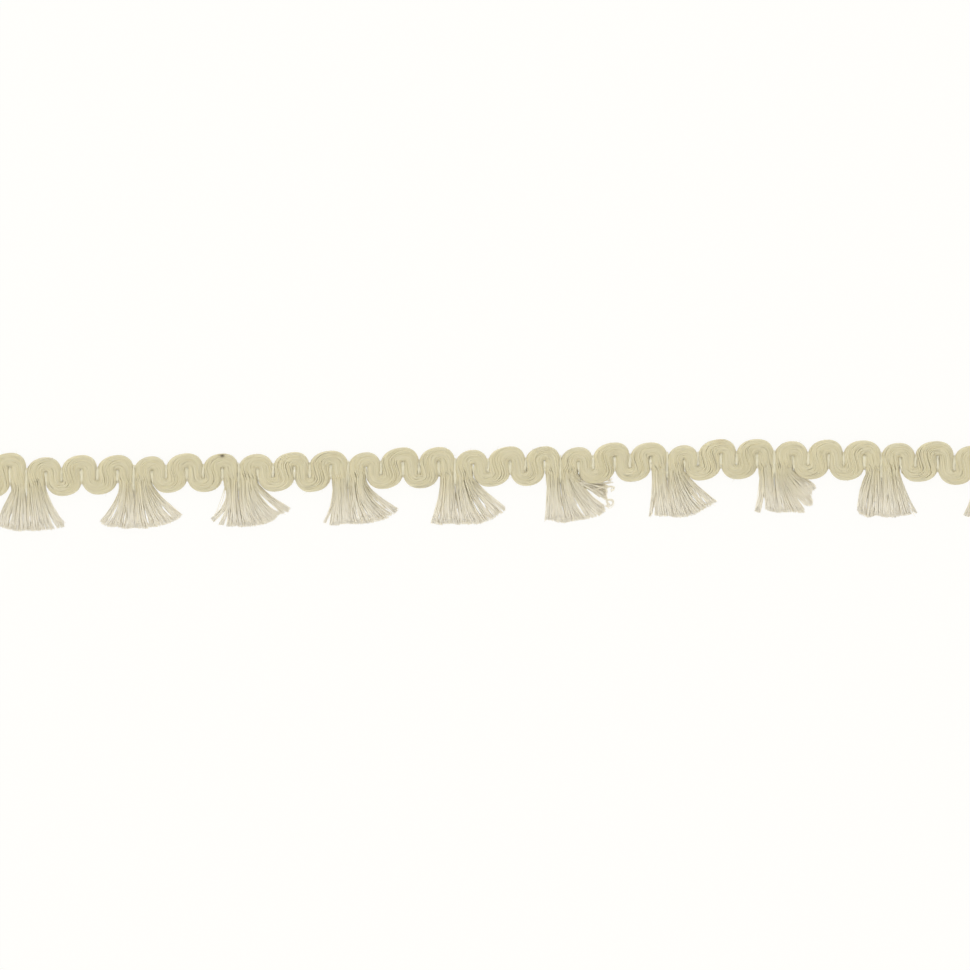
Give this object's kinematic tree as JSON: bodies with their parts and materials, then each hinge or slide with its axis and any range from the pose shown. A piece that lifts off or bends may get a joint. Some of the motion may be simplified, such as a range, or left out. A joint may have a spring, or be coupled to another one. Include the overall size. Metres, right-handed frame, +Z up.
{
  "type": "brush fringe trim",
  "caption": "Narrow gimp trim: a soft cord wound into a flat scroll heading, with small cut and brushed tufts hanging from its lower bends.",
  "frame": {"origin": "middle of the trim's footprint, on the surface that it lies on", "axes": "+X along the trim, +Y from the tufts towards the heading's crests, +Z up from the surface, out of the trim's face"},
  "size_m": [0.2004, 0.0158, 0.0022],
  "materials": {
    "cotton_cord": "matte natural cotton cord, loosely laid",
    "cotton_fringe": "matte natural cotton, cut and brushed out"
  },
  "bodies": {
    "root": {"heading_01": "cotton_cord", "heading_02": "cotton_cord", "heading_03": "cotton_cord", "heading_04": "cotton_cord", "heading_05": "cotton_cord", "heading_06": "cotton_cord", "heading_07": "cotton_cord", "heading_08": "cotton_cord", "heading_09": "cotton_cord", "heading_10": "cotton_cord", "heading_11": "cotton_cord", "tuft_01": "cotton_fringe", "tuft_02": "cotton_fringe", "tuft_03": "cotton_fringe", "tuft_04": "cotton_fringe", "tuft_05": "cotton_fringe", "tuft_06": "cotton_fringe", "tuft_07": "cotton_fringe", "tuft_08": "cotton_fringe", "tuft_09": "cotton_fringe", "tuft_10": "cotton_fringe"}
  },
  "joints": []
}
